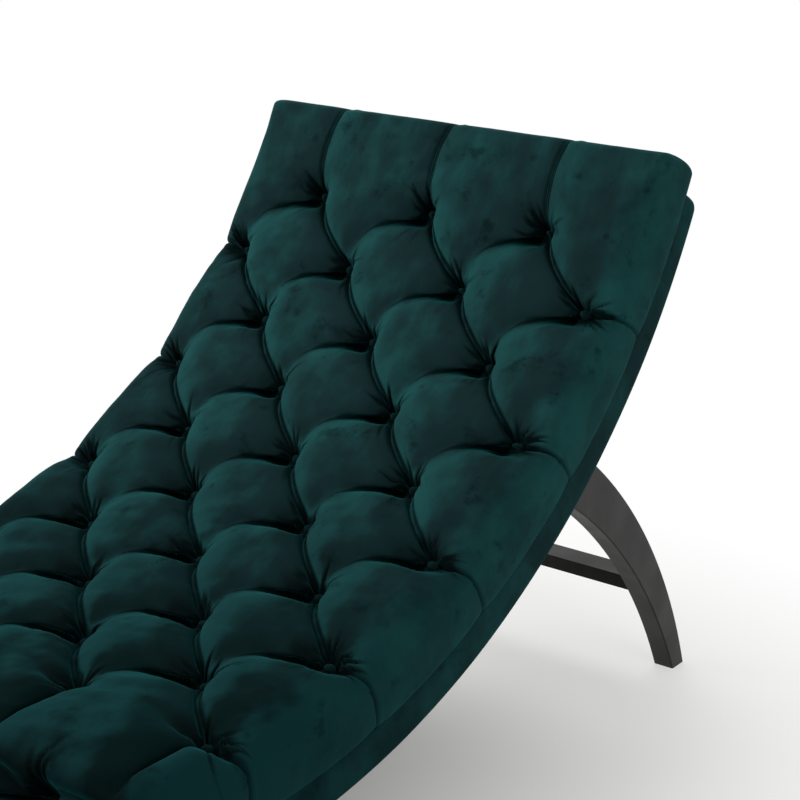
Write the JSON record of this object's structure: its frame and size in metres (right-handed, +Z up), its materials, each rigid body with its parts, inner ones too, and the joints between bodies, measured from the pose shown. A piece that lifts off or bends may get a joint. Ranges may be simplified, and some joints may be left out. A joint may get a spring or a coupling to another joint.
{
  "type": "chaise longue",
  "caption": "Armless curved chaise longue with a diamond-tufted velvet pad, a plain velvet band below it and dark sabre legs joined by rails.",
  "frame": {"origin": "on the floor, in the middle of the outline seen from above", "axes": "+Y towards the head end, +X to the right of someone who looks from the foot end to the head end, +Z up"},
  "size_m": [0.6694, 1.6469, 0.7743],
  "materials": {
    "velvet": "short-pile velvet, deep teal, soft directional sheen",
    "foam": "cut polyurethane foam",
    "twine": "waxed tufting twine",
    "clip_plastic": "moulded nylon",
    "plywood": "sanded birch plywood",
    "cambric": "black non-woven dust cloth",
    "frame_wood": "planed hardwood, unfinished",
    "dowel_wood": "fluted beech dowel",
    "zinc_steel": "zinc-plated steel",
    "espresso_wood": "hardwood with an espresso stain and satin lacquer",
    "glide_plastic": "moulded nylon glide"
  },
  "bodies": {
    "root": {"tufted_cover": "velvet", "tuft_buttons": "velvet", "side_band": "velvet", "foam_core": "foam", "button_twine": "twine", "twine_clips": "clip_plastic", "deck_panel": "plywood", "dust_cover": "cambric", "corner_blocks": "frame_wood", "rail_dowels": "dowel_wood", "stretcher_dowels": "dowel_wood", "leg_bolts": "zinc_steel", "leg_washers": "zinc_steel", "leg_inserts": "zinc_steel", "block_screws": "zinc_steel", "glides": "glide_plastic", "glide_nails": "zinc_steel", "rear_stretcher": "espresso_wood", "front_stretcher": "espresso_wood", "head_rail": "frame_wood", "rear_leg_rail_upper": "frame_wood", "rear_leg_rail_lower": "frame_wood", "seat_rail": "frame_wood", "knee_rail": "frame_wood", "front_leg_rail_upper": "frame_wood", "front_leg_rail_lower": "frame_wood", "foot_rail": "frame_wood", "side_rail_right": "frame_wood", "rear_leg_block_right": "frame_wood", "front_leg_block_right": "frame_wood", "rear_leg_right": "espresso_wood", "front_leg_right": "espresso_wood", "side_rail_left": "frame_wood", "rear_leg_block_left": "frame_wood", "front_leg_block_left": "frame_wood", "rear_leg_left": "espresso_wood", "front_leg_left": "espresso_wood"}
  },
  "joints": []
}
